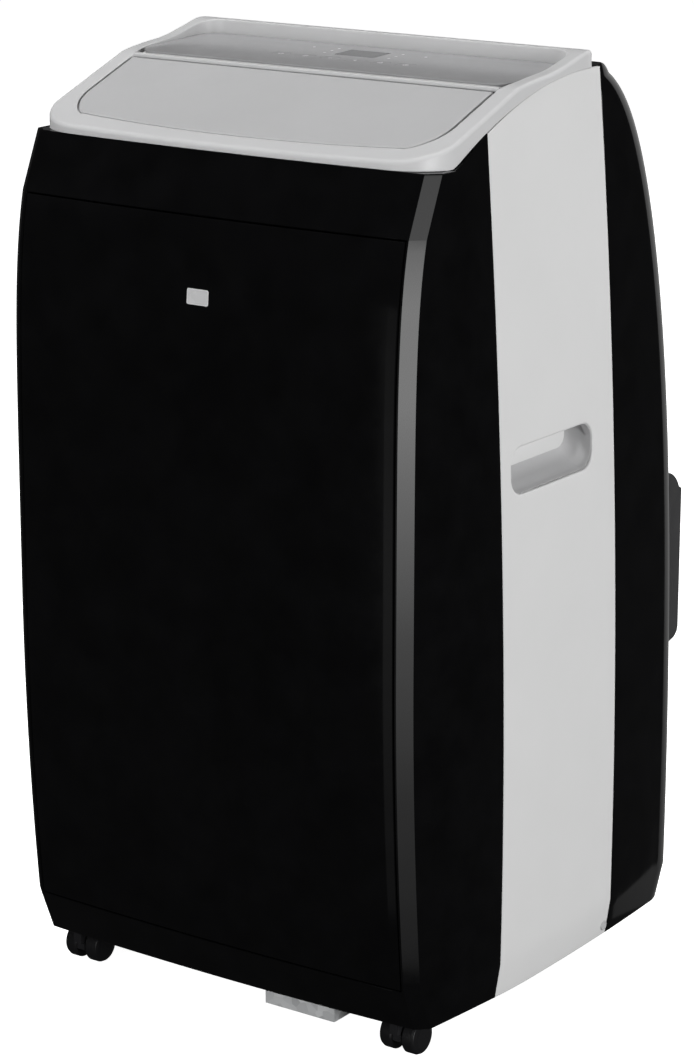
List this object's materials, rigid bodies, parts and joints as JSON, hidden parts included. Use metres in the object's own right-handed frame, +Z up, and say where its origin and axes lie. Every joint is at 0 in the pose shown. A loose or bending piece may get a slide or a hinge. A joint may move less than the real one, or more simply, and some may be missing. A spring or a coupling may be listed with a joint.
{
  "type": "portable air conditioner",
  "caption": "Upright portable room air conditioner with gloss black shell, grey side panels, top outlet flap, hand grips, rear hose port and casters.",
  "frame": {"origin": "on the floor under the middle of the box that holds the whole machine, hose port included", "axes": "-Y out of the front, +Y out of the rear hose port, +Z up, +X to the machine's right as seen from the front"},
  "size_m": [0.431, 0.436, 0.765],
  "materials": {
    "gloss_black": "high gloss moulded shell",
    "side_grey": "fine satin, light grey",
    "top_grey": "fine satin, light grey",
    "flap_grey": "fine satin, light grey",
    "deck_film": "printed control film, semi gloss",
    "display_tint": "tinted display lens",
    "receiver_lens": "translucent receiver lens",
    "lamp_white": "translucent light pipe",
    "dark_plastic": "fine grain, dark grey",
    "white_plastic": "expanded and moulded white inner parts",
    "filter_net": "fine plastic net in a frame",
    "rubber_black": "soft rubber",
    "caster_black": "satin nylon wheel",
    "galvanised": "galvanised sheet",
    "motor_steel": "pressed steel can",
    "compressor_black": "black enamel",
    "copper_pipe": "drawn copper tube",
    "fin_aluminium": "pressed fins on copper tube",
    "board_green": "solder mask"
  },
  "bodies": {
    "cabinet": {"base_tray": "dark_plastic", "chassis_rail": "galvanised", "front_frame": "gloss_black", "front_panel": "gloss_black", "receiver_window": "receiver_lens", "side_panel_left": "side_grey", "side_panel_right": "side_grey", "handle_pocket_left": "side_grey", "handle_pocket_right": "side_grey", "rear_cover": "gloss_black", "exhaust_port": "gloss_black", "top_cover": "top_grey", "control_panel": "deck_film", "display_window": "display_tint", "indicator_lamps": "lamp_white", "control_board": "board_green", "outlet_duct": "dark_plastic", "divider_tray": "dark_plastic", "evaporator_coil": "fin_aluminium", "evaporator_housing": "white_plastic", "evaporator_motor": "motor_steel", "condenser_coil": "fin_aluminium", "condenser_housing": "white_plastic", "condenser_motor": "motor_steel", "compressor": "compressor_black", "compressor_grommets": "rubber_black", "refrigerant_pipes": "copper_pipe", "electrical_box": "white_plastic", "cord_gland": "dark_plastic", "panel_screws": "galvanised", "flap_motor": "white_plastic"},
    "flap": {"outlet_flap": "flap_grey"},
    "vane_1": {"vane_1": "dark_plastic"},
    "vane_2": {"vane_2": "dark_plastic"},
    "vane_3": {"vane_3": "dark_plastic"},
    "vane_4": {"vane_4": "dark_plastic"},
    "vane_link": {"vane_link": "dark_plastic"},
    "key_power": {"key_power": "deck_film"},
    "key_mode": {"key_mode": "deck_film"},
    "key_down": {"key_down": "deck_film"},
    "key_up": {"key_up": "deck_film"},
    "key_fan": {"key_fan": "deck_film"},
    "key_timer": {"key_timer": "deck_film"},
    "evaporator_wheel": {"evaporator_wheel": "dark_plastic"},
    "condenser_wheel": {"condenser_wheel": "dark_plastic"},
    "upper_filter_frame": {"upper_grille": "gloss_black", "upper_filter": "filter_net"},
    "lower_filter_frame": {"lower_grille": "gloss_black", "lower_filter": "filter_net"},
    "hose_adaptor": {"hose_adaptor": "dark_plastic"},
    "drain_plug_upper": {"drain_plug_upper": "rubber_black"},
    "drain_plug_lower": {"drain_plug_lower": "rubber_black"},
    "caster_front_left": {"caster_hood_front_left": "dark_plastic"},
    "wheels_front_left": {"caster_wheels_front_left": "caster_black"},
    "caster_front_right": {"caster_hood_front_right": "dark_plastic"},
    "wheels_front_right": {"caster_wheels_front_right": "caster_black"},
    "caster_rear_left": {"caster_hood_rear_left": "dark_plastic"},
    "wheels_rear_left": {"caster_wheels_rear_left": "caster_black"},
    "caster_rear_right": {"caster_hood_rear_right": "dark_plastic"},
    "wheels_rear_right": {"caster_wheels_rear_right": "caster_black"}
  },
  "joints": [
    {"name": "flap_hinge", "type": "hinge", "parent": "cabinet", "child": "flap", "pos_m": [0, -0.07475, 0.7403], "axis": [-1, 0, 0], "range_deg": [0, 65]},
    {"name": "vane_1_hinge", "type": "hinge", "parent": "cabinet", "child": "vane_1", "pos_m": [-0.12, -0.124, 0.679], "axis": [0, 1, 0], "range_deg": [-30, 30]},
    {"name": "vane_2_hinge", "type": "hinge", "parent": "cabinet", "child": "vane_2", "pos_m": [-0.04, -0.124, 0.679], "axis": [0, 1, 0], "range_deg": [-30, 30]},
    {"name": "vane_3_hinge", "type": "hinge", "parent": "cabinet", "child": "vane_3", "pos_m": [0.04, -0.124, 0.679], "axis": [0, 1, 0], "range_deg": [-30, 30]},
    {"name": "vane_4_hinge", "type": "hinge", "parent": "cabinet", "child": "vane_4", "pos_m": [0.12, -0.124, 0.679], "axis": [0, 1, 0], "range_deg": [-30, 30]},
    {"name": "vane_link_slide", "type": "slide", "parent": "cabinet", "child": "vane_link", "axis": [1, 0, 0], "range_m": [-0.0115, 0.0115]},
    {"name": "key_power_press", "type": "slide", "parent": "cabinet", "child": "key_power", "axis": [0, 0.0454, -0.999], "range_m": [0, 0.0006], "stiffness_N_per_m": 900},
    {"name": "key_mode_press", "type": "slide", "parent": "cabinet", "child": "key_mode", "axis": [0, 0.0454, -0.999], "range_m": [0, 0.0006], "stiffness_N_per_m": 900},
    {"name": "key_down_press", "type": "slide", "parent": "cabinet", "child": "key_down", "axis": [0, 0.0454, -0.999], "range_m": [0, 0.0006], "stiffness_N_per_m": 900},
    {"name": "key_up_press", "type": "slide", "parent": "cabinet", "child": "key_up", "axis": [0, 0.0454, -0.999], "range_m": [0, 0.0006], "stiffness_N_per_m": 900},
    {"name": "key_fan_press", "type": "slide", "parent": "cabinet", "child": "key_fan", "axis": [0, 0.0454, -0.999], "range_m": [0, 0.0006], "stiffness_N_per_m": 900},
    {"name": "key_timer_press", "type": "slide", "parent": "cabinet", "child": "key_timer", "axis": [0, 0.0454, -0.999], "range_m": [0, 0.0006], "stiffness_N_per_m": 900},
    {"name": "evaporator_wheel_spin", "type": "hinge", "parent": "cabinet", "child": "evaporator_wheel", "pos_m": [0.017, -0.11, 0.52], "axis": [0, 1, 0], "continuous": true},
    {"name": "condenser_wheel_spin", "type": "hinge", "parent": "cabinet", "child": "condenser_wheel", "pos_m": [0.1, 0.02, 0.3], "axis": [1, 0, 0], "continuous": true},
    {"name": "upper_filter_pull", "type": "slide", "parent": "cabinet", "child": "upper_filter_frame", "axis": [0, 1, 0], "range_m": [0, 0.06]},
    {"name": "lower_filter_pull", "type": "slide", "parent": "cabinet", "child": "lower_filter_frame", "axis": [0, 1, 0], "range_m": [0, 0.06]},
    {"name": "hose_adaptor_pull", "type": "slide", "parent": "cabinet", "child": "hose_adaptor", "axis": [0, 1, 0], "range_m": [0, 0.05]},
    {"name": "drain_plug_upper_pull", "type": "slide", "parent": "cabinet", "child": "drain_plug_upper", "axis": [0, 1, 0], "range_m": [0, 0.03]},
    {"name": "drain_plug_lower_pull", "type": "slide", "parent": "cabinet", "child": "drain_plug_lower", "axis": [0, 1, 0], "range_m": [0, 0.03]},
    {"name": "caster_front_left_swivel", "type": "hinge", "parent": "cabinet", "child": "caster_front_left", "pos_m": [-0.16, -0.174, 0.03], "axis": [0, 0, 1], "continuous": true},
    {"name": "wheels_front_left_spin", "type": "hinge", "parent": "caster_front_left", "child": "wheels_front_left", "pos_m": [-0.16, -0.165, 0.0145], "axis": [1, 0, 0], "continuous": true},
    {"name": "caster_front_right_swivel", "type": "hinge", "parent": "cabinet", "child": "caster_front_right", "pos_m": [0.16, -0.174, 0.03], "axis": [0, 0, 1], "continuous": true},
    {"name": "wheels_front_right_spin", "type": "hinge", "parent": "caster_front_right", "child": "wheels_front_right", "pos_m": [0.16, -0.165, 0.0145], "axis": [1, 0, 0], "continuous": true},
    {"name": "caster_rear_left_swivel", "type": "hinge", "parent": "cabinet", "child": "caster_rear_left", "pos_m": [-0.118, 0.134, 0.03], "axis": [0, 0, 1], "continuous": true},
    {"name": "wheels_rear_left_spin", "type": "hinge", "parent": "caster_rear_left", "child": "wheels_rear_left", "pos_m": [-0.118, 0.143, 0.0145], "axis": [1, 0, 0], "continuous": true},
    {"name": "caster_rear_right_swivel", "type": "hinge", "parent": "cabinet", "child": "caster_rear_right", "pos_m": [0.118, 0.134, 0.03], "axis": [0, 0, 1], "continuous": true},
    {"name": "wheels_rear_right_spin", "type": "hinge", "parent": "caster_rear_right", "child": "wheels_rear_right", "pos_m": [0.118, 0.143, 0.0145], "axis": [1, 0, 0], "continuous": true}
  ],
  "couplings": [
    {"joint": "vane_1_hinge", "follows": "vane_link_slide", "rad_per_m": -45.455},
    {"joint": "vane_2_hinge", "follows": "vane_link_slide", "rad_per_m": -45.455},
    {"joint": "vane_3_hinge", "follows": "vane_link_slide", "rad_per_m": -45.455},
    {"joint": "vane_4_hinge", "follows": "vane_link_slide", "rad_per_m": -45.455}
  ]
}
